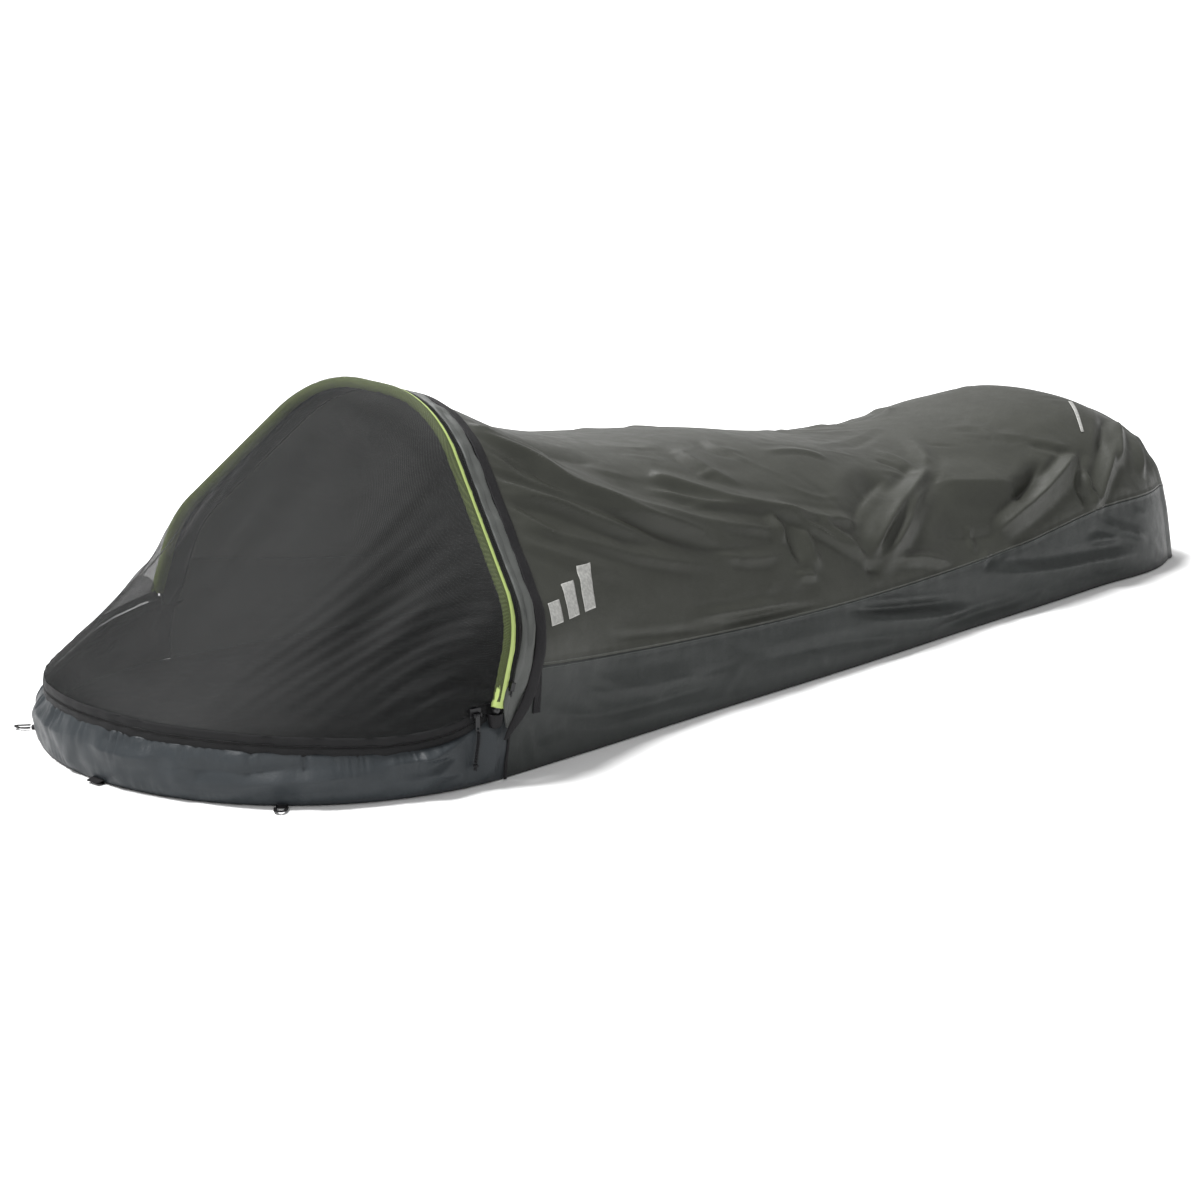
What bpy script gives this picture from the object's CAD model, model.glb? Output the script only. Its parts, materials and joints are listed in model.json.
"""One-person hoop bivy sack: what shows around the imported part. Metres, row frame."""
import json
from math import atan2, cos, pi, radians, sin, sqrt, tan

import bpy
import numpy as np
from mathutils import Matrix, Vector
from mathutils.bvhtree import BVHTree


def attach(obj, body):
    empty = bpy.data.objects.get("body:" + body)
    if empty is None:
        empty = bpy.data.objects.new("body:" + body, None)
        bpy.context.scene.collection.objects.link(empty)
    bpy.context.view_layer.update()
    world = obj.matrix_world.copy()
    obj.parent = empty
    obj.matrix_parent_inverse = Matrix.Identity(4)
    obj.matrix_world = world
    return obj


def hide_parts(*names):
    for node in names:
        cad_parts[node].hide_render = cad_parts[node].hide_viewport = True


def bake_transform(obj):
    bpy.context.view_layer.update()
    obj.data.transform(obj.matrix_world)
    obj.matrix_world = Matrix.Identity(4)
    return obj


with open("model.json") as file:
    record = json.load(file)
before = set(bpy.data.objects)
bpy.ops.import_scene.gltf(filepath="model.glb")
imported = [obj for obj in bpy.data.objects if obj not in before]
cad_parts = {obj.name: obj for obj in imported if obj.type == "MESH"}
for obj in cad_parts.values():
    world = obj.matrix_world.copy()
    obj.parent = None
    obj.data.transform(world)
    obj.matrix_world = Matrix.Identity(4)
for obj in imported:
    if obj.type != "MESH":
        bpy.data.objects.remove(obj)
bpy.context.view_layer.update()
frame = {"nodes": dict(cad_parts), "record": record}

scene = bpy.context.scene

# ---------------------------------------------------------------- frame facts
joint = {j["name"]: j for j in frame["record"]["behaviour"]["joints"]}
HX, _, HZ = joint["clamshell_open"]["pos_m"]      # middle of the hoop's base line
LEAN = radians(17.7)                               # hoop's lean towards the foot
SIN_L, COS_L = sin(LEAN), cos(LEAN)
RIM_R = 0.380
HOOD_END = 0.420                                   # all lengths along X count from the hoop's base line
FOOT = 1.650

# ---------------------------------------------------------------- camera
eye = Vector((HX - 2.372, -3.235, 1.232))
aim = Vector((0.644, 0.720, -0.257))
camera = bpy.data.objects.new("camera", bpy.data.cameras.new("camera"))
scene.collection.objects.link(camera)
camera.location = eye
camera.rotation_euler = aim.to_track_quat("-Z", "Y").to_euler()
camera.data.lens, camera.data.sensor_width = 90.0, 36.0
camera.data.shift_x = 0.0042
camera.data.clip_end = 200.0
scene.camera = camera


# ---------------------------------------------------------------- small tools
def smooth(x, xs, ys):
    """Values at x on a smooth curve through the points (xs, ys)."""
    xs, ys = np.asarray(xs, float), np.asarray(ys, float)
    x = np.clip(np.asarray(x, float), xs[0], xs[-1])
    slope = np.gradient(ys, xs)
    i = np.clip(np.searchsorted(xs, x, side="right") - 1, 0, len(xs) - 2)
    h = xs[i + 1] - xs[i]
    t = (x - xs[i]) / h
    a, b = ys[i], ys[i + 1]
    return (
        a * (1 + 2 * t) * (1 - t) ** 2 + b * t * t * (3 - 2 * t)
        + h * (slope[i] * t * (1 - t) ** 2 - slope[i + 1] * t * t * (1 - t))
    )


def step(x, low=0.0, high=1.0):
    """0 below low, 1 above high, smooth between."""
    t = np.clip((np.asarray(x, float) - low) / (high - low), 0, 1)
    return t * t * (3 - 2 * t)


def ripple(points, size, seed, waves=7):
    """Smooth random values of about -1 to 1 over points, with features of about this size."""
    rng = np.random.default_rng(seed)
    points = np.asarray(points, float)
    total = np.zeros(points.shape[:-1])
    for _ in range(waves):
        direction = rng.normal(size=points.shape[-1])
        direction *= 2 * pi / (size * rng.uniform(0.7, 1.6)) / np.linalg.norm(direction)
        total += np.sin(points @ direction + rng.uniform(0, 2 * pi))
    return total / sqrt(waves) * 0.9


def normals(grid):
    """Unit normals of a grid of points (rows, columns, 3)."""
    n = np.cross(np.gradient(grid, axis=0), np.gradient(grid, axis=1))
    return n / np.maximum(np.linalg.norm(n, axis=2, keepdims=True), 1e-12)


def run_of(grid, axis):
    """Distance along the grid's rows (axis 1) or columns (axis 0), from its first point."""
    d = np.linalg.norm(np.diff(grid, axis=axis), axis=2)
    start = np.zeros_like(d[:, :1] if axis == 1 else d[:1])
    return np.concatenate([start, np.cumsum(d, axis=axis)], axis=axis)


def crease(relief, place, line, height, above, below=None, fade=0.30):
    """Add a crease to relief along a smooth line of flat places (..., 2).

    above and below are its half widths on the left and right of its direction; fade is the
    share of its length over which it dies away at each end."""
    line = np.array(line, float)
    share = np.linspace(0, 1, len(line))
    length = np.linalg.norm(np.diff(line, axis=0), axis=1).sum()
    at = np.linspace(0, 1, 12 * len(line) + int(length / 0.002))
    line = np.stack([smooth(at, share, line[:, k]) for k in (0, 1)], axis=-1)
    below = below or above
    reach = 2.6 * max(above, below)
    low, high = line.min(0) - reach, line.max(0) + reach
    near = np.all((place > low) & (place < high), axis=-1)
    spots = place[near]
    if not len(spots):
        return
    gap = spots[:, None] - line[None]
    nearest = np.argmin((gap**2).sum(-1), axis=1)
    along = np.gradient(line, axis=0)
    along /= np.linalg.norm(along, axis=1, keepdims=True)
    gap, along = gap[np.arange(len(spots)), nearest], along[nearest]
    off = along[:, 0] * gap[:, 1] - along[:, 1] * gap[:, 0]
    beyond = np.abs((gap * along).sum(-1))
    width = np.where(off > 0, above, below)
    rise = step(at, 0, fade) * step(1 - at, 0, fade) if fade else np.ones_like(at)
    shape = np.exp(-np.abs(off / width) ** 1.2) - 0.22 * np.exp(-((np.abs(off) / width - 1.9) ** 2) * 1.8)
    relief[near] += height * rise[nearest] * shape * np.exp(-(beyond / (0.6 * width)) ** 2)


def mesh_object(name, verts, faces, mats, face_mats=None, uvs=None):
    """A mesh object from plain lists."""
    mesh = bpy.data.meshes.new(name)
    mesh.from_pydata([tuple(v) for v in verts], [], [tuple(f) for f in faces])
    for m in mats:
        mesh.materials.append(m)
    if face_mats is not None:
        mesh.polygons.foreach_set("material_index", np.asarray(face_mats, np.int32))
    if uvs is not None:
        layer = mesh.uv_layers.new(name="UVMap")
        loops = np.zeros(len(mesh.loops), np.int32)
        mesh.loops.foreach_get("vertex_index", loops)
        layer.data.foreach_set("uv", np.asarray(uvs, np.float32)[loops].ravel())
    mesh.polygons.foreach_set("use_smooth", np.ones(len(mesh.polygons), bool))
    mesh.validate()
    mesh.update()
    obj = bpy.data.objects.new(name, mesh)
    scene.collection.objects.link(obj)
    return obj


def grid_faces(rows, cols, wrap=False, offset=0, flip=False):
    """Quads of a grid; wrap joins its last column to its first."""
    i, j = np.meshgrid(np.arange(rows - 1), np.arange(cols if wrap else cols - 1), indexing="ij")
    k = (j + 1) % cols
    quads = np.stack([i * cols + j, i * cols + k, (i + 1) * cols + k, (i + 1) * cols + j], axis=-1)
    quads = quads.reshape(-1, 4) + offset
    return quads[:, ::-1] if flip else quads


def cloth(name, grid, outer, inner=None, thick=0.0008, flip=False):
    """A sheet with two faces and a thin edge round it, from a grid whose normals point out."""
    rows, cols = grid.shape[:2]
    n = normals(grid) * (-1 if flip else 1)
    u, v = run_of(grid, 0), run_of(grid, 1)
    flat = np.stack([u, v], axis=-1).reshape(-1, 2)
    verts = np.concatenate([grid.reshape(-1, 3), (grid - n * thick).reshape(-1, 3)])
    count = rows * cols
    out = grid_faces(rows, cols, flip=flip)
    back = grid_faces(rows, cols, offset=count, flip=not flip)
    ring = np.concatenate([
        np.arange(cols), np.arange(1, rows) * cols + cols - 1,
        (rows - 1) * cols + np.arange(cols - 2, -1, -1), np.arange(rows - 2, 0, -1) * cols,
    ])
    after = np.roll(ring, -1)
    edge = np.stack([ring, ring + count, after + count, after], axis=-1)
    if flip:
        edge = edge[:, ::-1]
    faces = np.concatenate([out, back, edge])
    kinds = np.repeat([0, 1, 0], [len(out), len(back), len(edge)])
    return mesh_object(name, verts, faces, [outer, inner or outer], kinds, np.concatenate([flat, flat]))


def tube(name, rings, mat):
    """A closed tube through rings of points (rings, points round, 3)."""
    rows, cols = rings.shape[:2]
    faces = [list(f) for f in grid_faces(rows, cols, wrap=True)]
    faces += [list(range(cols))[::-1], [(rows - 1) * cols + j for j in range(cols)]]
    closed = np.concatenate([rings, rings[:, :1]], axis=1)
    uv = np.stack([run_of(closed, 0)[:, :-1], run_of(closed, 1)[:, :-1]], axis=-1).reshape(-1, 2)
    return mesh_object(name, rings.reshape(-1, 3), faces, [mat], uvs=uv)


def joined(name, objects):
    """Several mesh objects made into one."""
    bpy.ops.object.select_all(action="DESELECT")
    for o in objects:
        o.select_set(True)
    bpy.context.view_layer.objects.active = objects[0]
    bpy.ops.object.join()
    objects[0].name = objects[0].data.name = name
    return objects[0]


def put(obj, body, stands_for=()):
    """Let a piece ride on a body, and name its slot and the CAD nodes that it stands for."""
    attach(obj, body)
    if stands_for:
        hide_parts(*stands_for)
    return obj


# ---------------------------------------------------------------- materials
class Nodes:
    """Short way to build a material's node tree."""

    def __init__(self, name):
        self.mat = bpy.data.materials.new(name)
        self.mat.use_nodes = True
        self.tree = self.mat.node_tree
        self.shader = self.tree.nodes["Principled BSDF"]
        self.out = self.tree.nodes["Material Output"]

    def add(self, kind, settings=None, **inputs):
        node = self.tree.nodes.new("ShaderNode" + kind)
        for k, v in (settings or {}).items():
            setattr(node, k, v)
        for k, v in inputs.items():
            self.feed(node.inputs[k.replace("_", " ")], v)
        return node

    def feed(self, socket, value):
        if isinstance(value, bpy.types.NodeSocket):
            self.tree.links.new(value, socket)
        else:
            socket.default_value = value

    def set(self, **inputs):
        for k, v in inputs.items():
            self.feed(self.shader.inputs[k.replace("_", " ")], v)
        return self

    def coords(self):
        return self.add("TexCoord").outputs["Object"]

    def noise(self, scale, detail=3.0, rough=0.5, vector=None):
        return self.add("TexNoise", Vector=vector or self.coords(), Scale=scale, Detail=detail,
                        Roughness=rough).outputs["Fac"]

    def levels(self, value, low, high, to_low=0.0, to_high=1.0):
        node = self.add("MapRange", Value=value)
        for k, v in zip(("From Min", "From Max", "To Min", "To Max"), (low, high, to_low, to_high)):
            node.inputs[k].default_value = v
        return node.outputs["Result"]

    def math(self, operation, a, b=0.0):
        node = self.add("Math", {"operation": operation})
        self.feed(node.inputs[0], a)
        self.feed(node.inputs[1], b)
        return node.outputs[0]

    def mix(self, factor, a, b):
        node = self.add("Mix", {"data_type": "RGBA"})
        for socket, value in ((0, factor), (6, a), (7, b)):
            self.feed(node.inputs[socket], value)
        return node.outputs[2]

    def bump(self, height, distance, strength=1.0, normal=None):
        node = self.add("Bump", Height=height, Distance=distance, Strength=strength)
        if normal is not None:
            self.feed(node.inputs["Normal"], normal)
        return node.outputs["Normal"]

    def weave(self, pitch, turn=0.0):
        """Height of a plain weave on the piece's flat coordinates."""
        uv = self.add("TexCoord").outputs["UV"]
        turned = self.add("Mapping", Vector=uv, Rotation=(0, 0, turn)).outputs["Vector"]
        threads = [
            self.add("TexWave", {"bands_direction": d}, Vector=turned, Scale=0.314 / pitch,
                     Distortion=0.15, Detail=0.0).outputs["Fac"]
            for d in "XY"
        ]
        return self.math("MULTIPLY", *threads)


def colour(r, g, b):
    """A linear colour from the 0 to 255 values seen on a screen."""
    return (*[((c / 255 + 0.055) / 1.055) ** 2.4 if c > 10 else c / 255 / 12.92 for c in (r, g, b)], 1.0)


def fabric(name, shade, rough=0.5, vary=0.10, crinkle=0.0009, gloss=0.24):
    """Woven cloth: thread bump, fine crinkles, and slight changes of shade and gloss."""
    n = Nodes(name)
    dark = tuple(c * (1 - vary) for c in shade[:3]) + (1.0,)
    light = tuple(min(1, c * (1 + vary)) for c in shade[:3]) + (1.0,)
    thread = n.weave(0.0007)
    cloud = n.levels(n.noise(9.0, 4.0, 0.6), 0.3, 0.7)
    base = n.mix(cloud, dark, light)
    base = n.mix(n.levels(thread, 0.0, 1.0, 0.0, 0.22), base, dark)
    n.set(Base_Color=base, Specular_IOR_Level=gloss)
    n.set(Roughness=n.levels(n.noise(35.0, 3.0, 0.6), 0.3, 0.7, rough - 0.06, rough + 0.07))
    creases = n.bump(n.noise(42.0, 5.0, 0.62), crinkle)
    n.set(Normal=n.bump(thread, 0.00015, 0.35, creases))
    return n.mat


top_fabric = fabric("top_fabric", colour(52, 53, 48), rough=0.44)
top_inside = fabric("top_fabric_inside", colour(136, 137, 132), rough=0.75)
wall_fabric = fabric("wall_fabric", colour(39, 42, 41), rough=0.42)
tub_fabric = fabric("tub_fabric", colour(44, 48, 51), rough=0.44)
wall_inside = fabric("wall_fabric_inside", colour(112, 114, 111), rough=0.75)
tub_inside = fabric("tub_fabric_inside", colour(34, 34, 34), rough=0.6, gloss=0.2)
floor_fabric = fabric("floor_fabric", colour(26, 26, 27), rough=0.55, gloss=0.2)
flap_fabric = fabric("flap_fabric", colour(74, 76, 74), rough=0.42)
lime_fabric = fabric("sleeve_fabric", colour(164, 182, 108), rough=0.5, vary=0.05, crinkle=0.0004)


def webbing_material(name, shade, pitch=0.0016):
    """Flat woven strap: a herringbone of raised threads."""
    n = Nodes(name)
    uv = n.add("TexCoord").outputs["UV"]
    bands = []
    for turn in (radians(32), radians(-32)):
        turned = n.add("Mapping", Vector=uv, Rotation=(0, 0, turn)).outputs["Vector"]
        bands.append(n.add("TexWave", Vector=turned, Scale=0.314 / pitch, Distortion=0.2).outputs["Fac"])
    rib = n.math("MAXIMUM", *bands)
    light = tuple(c * 1.6 + 0.001 for c in shade[:3]) + (1.0,)
    n.set(Base_Color=n.mix(n.levels(rib, 0.3, 1.0), shade, light), Roughness=0.62,
          Specular_IOR_Level=0.22)
    n.set(Normal=n.bump(rib, 0.0004, 0.7))
    return n.mat


webbing = webbing_material("webbing", colour(15, 14, 16))
tape_cloth = webbing_material("zipper_tape", colour(16, 16, 17), pitch=0.0009)


def hard(name, shade, rough=0.4, metallic=0.0):
    """Moulded plastic or painted metal: fine grain, slightly uneven gloss."""
    n = Nodes(name)
    dark = tuple(c * 0.85 for c in shade[:3]) + (1.0,)
    fleck = n.noise(300.0, 2.0)
    n.set(Base_Color=n.mix(n.levels(n.noise(60.0), 0.35, 0.65), shade, dark), Metallic=metallic)
    n.set(Roughness=n.levels(n.noise(120.0), 0.3, 0.7, rough - 0.07, rough + 0.07))
    n.set(Normal=n.bump(fleck, 0.00003, 0.5))
    return n.mat


coil_nylon = hard("zipper_coil", colour(18, 18, 19), rough=0.34)
slider_paint = hard("slider_metal", colour(26, 26, 28), rough=0.32, metallic=0.4)
pole_tube = hard("pole", colour(214, 208, 190), rough=0.35)
ferrule_metal = hard("ferrule", colour(176, 178, 182), rough=0.25, metallic=1.0)
black_plastic = hard("plastic", colour(32, 32, 33), rough=0.42)


def cord_material(name, shade):
    """Braided cord."""
    n = Nodes(name)
    light = tuple(c * 2.0 + 0.002 for c in shade[:3]) + (1.0,)
    plait = n.noise(900.0, 1.0)
    n.set(Base_Color=n.mix(n.levels(plait, 0.4, 0.6), shade, light), Roughness=0.7, Specular_IOR_Level=0.25)
    n.set(Normal=n.bump(plait, 0.0003, 0.6))
    return n.mat


braid = cord_material("cord", colour(16, 16, 18))


def netting_material():
    """Fine insect netting: dark threads with see-through holes between them."""
    n = Nodes("netting")
    thread = n.levels(n.weave(0.0013, radians(45)), 0.15, 0.75, 1.0, 0.0)
    n.set(Base_Color=n.mix(n.levels(n.noise(14.0, 3.0), 0.3, 0.7), colour(20, 21, 21), colour(27, 28, 28)),
          Roughness=0.6, Specular_IOR_Level=0.2, Alpha=n.levels(thread, 0.0, 1.0, 0.33, 0.47))
    n.mat.surface_render_method = "DITHERED"
    return n.mat


netting = netting_material()

# ---------------------------------------------------------------- hoop line
BASE_Y, SHOULDER, CROWN, RISE = 0.392, (0.386, 0.118), 0.125, 0.372
BENDS = (0.120, 0.240)


def outline_points():
    """The hoop's outline in its own plane, evenly spaced, from the right base to the left."""
    corners = [np.array(p) for p in (
        (-BASE_Y - 0.003, -0.06), (-SHOULDER[0], SHOULDER[1]), (-CROWN, RISE),
        (CROWN, RISE), SHOULDER, (BASE_Y + 0.003, -0.06))]
    points = [corners[0]]
    for a, b, c, r in zip(corners, corners[1:], corners[2:], (BENDS[0], BENDS[1], BENDS[1], BENDS[0])):
        back, on = (a - b) / np.linalg.norm(a - b), (c - b) / np.linalg.norm(c - b)
        half = np.arccos(np.clip(back @ on, -1, 1)) / 2
        middle = b + (back + on) / np.linalg.norm(back + on) * r / sin(half)
        first = b + back * r / tan(half) - middle
        last = b + on * r / tan(half) - middle
        a0, a1 = atan2(first[1], first[0]), atan2(last[1], last[0])
        turn = (a1 - a0 + pi) % (2 * pi) - pi
        points += [middle + r * np.array((cos(a), sin(a))) for a in a0 + turn * np.linspace(0, 1, 24)]
    return np.array(points + [corners[-1]])


outline = outline_points()
steps = np.concatenate([[0], np.cumsum(np.linalg.norm(np.diff(outline, axis=0), axis=1))])
HALF_ARC = steps[-1] / 2
outline_s = steps - HALF_ARC                       # distance along the hoop from its crown
fine_s = np.linspace(-HALF_ARC, HALF_ARC, 1200)
fine = np.stack([np.interp(fine_s, outline_s, outline[:, k]) for k in (0, 1)], axis=-1)
tangent = np.gradient(fine, fine_s, axis=0)
for _ in range(12):
    tangent[1:-1] = (tangent[:-2] + 2 * tangent[1:-1] + tangent[2:]) / 4
tangent /= np.linalg.norm(tangent, axis=1, keepdims=True)
outward = np.stack([-tangent[:, 1], tangent[:, 0]], axis=-1)


def s_at_height(h):
    """Distance from the crown of the point at this height over the base, on the left leg."""
    left = fine_s > 0
    return float(np.interp(-h, -fine[left, 1], fine_s[left]))


def hoop(s, t, out=0.0):
    """Point at distance s from the crown, t behind the hoop's plane, out from its line."""
    s, t, out = np.broadcast_arrays(np.asarray(s, float), t, out)
    y, h, oy, oh = (np.interp(s, fine_s, c) for c in (*fine.T, *outward.T))
    y, h = y + out * oy, h + out * oh
    return np.stack([HX + h * SIN_L + t * COS_L, y, HZ + h * COS_L - t * SIN_L], axis=-1)


# ---------------------------------------------------------------- pull cord
PULL_CORD = [
    (HX - 0.0260, -0.3880, 0.0756), (HX - 0.0275, -0.3892, 0.0620),
    (HX - 0.0310, -0.3898, 0.0490), (HX - 0.0330, -0.3900, 0.0350),
]


def route(name, points):
    """A plain curve along a cord's route."""
    data = bpy.data.curves.new(name, "CURVE")
    data.dimensions, data.resolution_u = "3D", 24
    line = data.splines.new("NURBS")
    line.points.add(len(points) - 1)
    for p, xyz in zip(line.points, points):
        p.co = (*xyz, 1.0)
    line.order_u, line.use_endpoint_u = 3, True
    return data


def centre_points(points):
    """Points along the route's smooth line."""
    data = route("route", points)
    bare = bpy.data.objects.new("route", data)
    mesh = bpy.data.meshes.new_from_object(bare)
    line = np.array([v.co for v in mesh.vertices])
    bpy.data.meshes.remove(mesh)
    bpy.data.objects.remove(bare)
    bpy.data.curves.remove(data)
    return line


def resampled(line, count_for):
    """Even distances along a line of points, as many as count_for(its length), and the points there."""
    along = run_of(line[None], 1)[0]
    at = np.linspace(0, along[-1], count_for(along[-1]))
    return at, np.stack([np.interp(at, along, line[:, k]) for k in range(3)], axis=-1)


def axes_along(line, toward):
    """Unit directions along a line: forward, aside (square to toward), and square to both."""
    forward = np.gradient(line, axis=0)
    forward /= np.linalg.norm(forward, axis=1, keepdims=True)
    aside = np.cross(forward, toward)
    aside /= np.linalg.norm(aside, axis=1, keepdims=True)
    return forward, aside, np.cross(aside, forward)


def rings_round(line, radius, a, b, points=10):
    """Rings of points round a line, in the plane of the directions a and b."""
    turn = np.linspace(0, 2 * pi, points, endpoint=False)[None, :, None]
    return line[:, None] + radius * (np.cos(turn) * a[:, None] + np.sin(turn) * b[:, None])


def twisted(name, line, radius, strand, turns, mat, lumps):
    """Two strands wound round each other along a line."""
    at, mid = resampled(line, lambda length: max(60, int(length / 0.0006)))
    _, side, up = axes_along(mid, (1.0, 0.0, 0.0))
    parts = []
    for phase in (0, pi):
        turn = (2 * pi * turns * at / at[-1] + phase)[:, None]
        core = mid + radius * (np.cos(turn) * side + np.sin(turn) * up)
        size = strand * (1 + lumps * np.sin(at / 0.0011 + phase))[:, None, None]
        parts.append(tube(f"{name}_{len(parts)}", rings_round(core, size, side, up), mat))
    return joined(name, parts)


cord_line = centre_points(PULL_CORD)
pull_cord = twisted("pull_cord_strands", cord_line, 0.0013, 0.0014, 5.5, braid, lumps=0.16)
put(pull_cord, "rim_pull", ["pull_cord"])


def knot_piece(name, centre, axis, radius, length, mat):
    """An overhand knot as a fat twisted lump with a short tail."""
    axis = np.array(axis) / np.linalg.norm(axis)
    side = np.cross(axis, (1.0, 0.0, 0.0))
    side /= np.linalg.norm(side)
    up = np.cross(side, axis)
    t = np.linspace(0, 2 * pi, 90)
    # a trefoil squeezed along the cord
    path = np.stack([np.sin(t) + 2 * np.sin(2 * t), np.cos(t) - 2 * np.cos(2 * t), -np.sin(3 * t)], axis=-1) / 3
    scale = radius - 0.0013
    core = centre + path[:, :1] * side * scale + path[:, 1:2] * up * scale + path[:, 2:] * axis * length * 0.30
    _, a, b = axes_along(core, axis + 0.01)
    parts = [tube(name + "_lump", rings_round(core, 0.0014, a, b), mat)]
    at = np.linspace(0, 1, 12)[:, None]
    for k, way in enumerate((-1, 1)):
        line = centre + axis * (length * 0.25 + at * length * 0.55) + side * way * (0.0012 + 0.0010 * at)
        parts.append(tube(f"{name}_tail{k}", rings_round(line, 0.0011, side[None], up[None]), mat))
    return joined(name, parts)


end_dir = cord_line[-1] - cord_line[-2]
knot = knot_piece("pull_cord_knot", cord_line[-1] + end_dir / np.linalg.norm(end_dir) * 0.003, end_dir,
                  0.0042, 0.008, braid)
put(knot, "rim_pull", ["cord_knot"])

# ---------------------------------------------------------------- body surface
STATIONS = np.array([
    (0.000, 0.382, 0.462), (0.200, 0.368, 0.405), (0.420, 0.350, 0.344), (0.750, 0.326, 0.304),
    (1.050, 0.298, 0.256), (1.240, 0.282, 0.258), (1.380, 0.268, 0.274), (1.570, 0.248, 0.262),
    (1.650, 0.208, 0.226)])                        # distance behind the base line, half width, ridge height
SEAM = np.array([                                  # distance behind the base line, side seam height
    (0.0, 0.146), (0.33, 0.114), (0.80, 0.096), (1.18, 0.106), (1.40, 0.127), (1.65, 0.127)])
LEAN_IN = 0.015
CUTS = np.array([0, 0.105, 0.262, 0.385, 0.5, 0.615, 0.738, 0.895, 1.0])   # where section points lie
SEAM_V = CUTS[1]


def section(x, v):
    """Y and Z of the body's skin at distance x from the base line and share v round the section."""
    half = smooth(x, STATIONS[:, 0], STATIONS[:, 1])
    ridge = smooth(x, STATIONS[:, 0], STATIONS[:, 2])
    seam = smooth(x, SEAM[:, 0], SEAM[:, 1])
    side, rise = half - LEAN_IN, ridge - seam
    ys = [-half, -side, -0.76 * side, -0.40 * side, 0.0, 0.40 * side, 0.76 * side, side, half]
    zs = [0.0, seam, seam + 0.64 * rise, seam + 0.93 * rise, ridge,
          seam + 0.93 * rise, seam + 0.64 * rise, seam, 0.0]
    share = [smooth(v, CUTS, np.eye(9)[k]) for k in range(9)]
    return sum(w * y for w, y in zip(share, ys)), sum(w * z for w, z in zip(share, zs))


FRONT_T = 0.0455                                   # where the fabric ends under the webbing
SEAM_S = s_at_height(0.062)                        # where the side seam meets the webbing


def front_edge(v):
    """The body's front edge: up the corner seam, along the webbing, and down again."""
    side = np.sign(v - 0.5)
    low = np.minimum(v, 1 - v)
    s = np.clip((low - SEAM_V) / (0.5 - SEAM_V), 0, 1)
    upper = hoop(side * SEAM_S * (1 - s), FRONT_T, -0.0016)
    knots = [0, 0.3 * SEAM_V, 0.62 * SEAM_V, 0.82 * SEAM_V, SEAM_V]
    at = hoop(SEAM_S, FRONT_T, -0.0016)
    xs = [HX + 0.016, HX + 0.020, HX + 0.031, HX + 0.047, at[0]]
    ys = [0.3815, 0.3835, 0.3845, 0.3860, at[1]]
    zs = [0.0015, 0.045, 0.084, 0.108, at[2]]
    lower = np.stack([smooth(low, knots, xs), side * smooth(low, knots, ys), smooth(low, knots, zs)], axis=-1)
    return np.where((low < SEAM_V)[:, None], lower, upper)


V = np.concatenate([
    np.linspace(0, SEAM_V, 36, endpoint=False), np.linspace(SEAM_V, 1 - SEAM_V, 248, endpoint=False),
    np.linspace(1 - SEAM_V, 1, 37)])
FIRST_SEAM, LAST_SEAM = 36, 36 + 248
HOOD_ROWS = 84
X_REAR = np.concatenate([np.arange(HOOD_END, 1.612, 0.0042), [1.612]])


def body_grid():
    """The whole skin from the hoop to the foot seam, without folds."""
    front = front_edge(V)
    q = np.linspace(0, 1, HOOD_ROWS)[:, None]
    x = (front[None, :, 0] - HX) * (1 - q) + HOOD_END * q
    y, z = section(x, V[None])
    y0, z0 = section(front[:, 0] - HX, V)
    fade = (1 - step(q, 0.0, 0.62))
    y = y + fade * (front[:, 1] - y0)
    z = z + fade * (front[:, 2] - z0)
    hood = np.stack([x + HX, y, z], axis=-1)
    xr = np.broadcast_to(X_REAR[1:, None], (len(X_REAR) - 1, len(V)))
    yr, zr = section(xr, V[None])
    rear = np.stack([xr + HX, yr, zr], axis=-1)
    grid = np.concatenate([hood, rear])
    grid[..., 0] -= foot_lean(grid[..., 0] - HX, grid[..., 2])
    return grid


def foot_lean(x, z):
    """How far the foot end leans back towards the head at this height."""
    return 0.030 * step(x, 1.36, 1.612) * z / 0.24


skin = body_grid()
along_v = run_of(skin, 1)
from_ridge = along_v - along_v[:, [len(V) // 2]]
flat = np.stack([skin[..., 0] - HX, from_ridge], axis=-1)
out = normals(skin)

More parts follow.
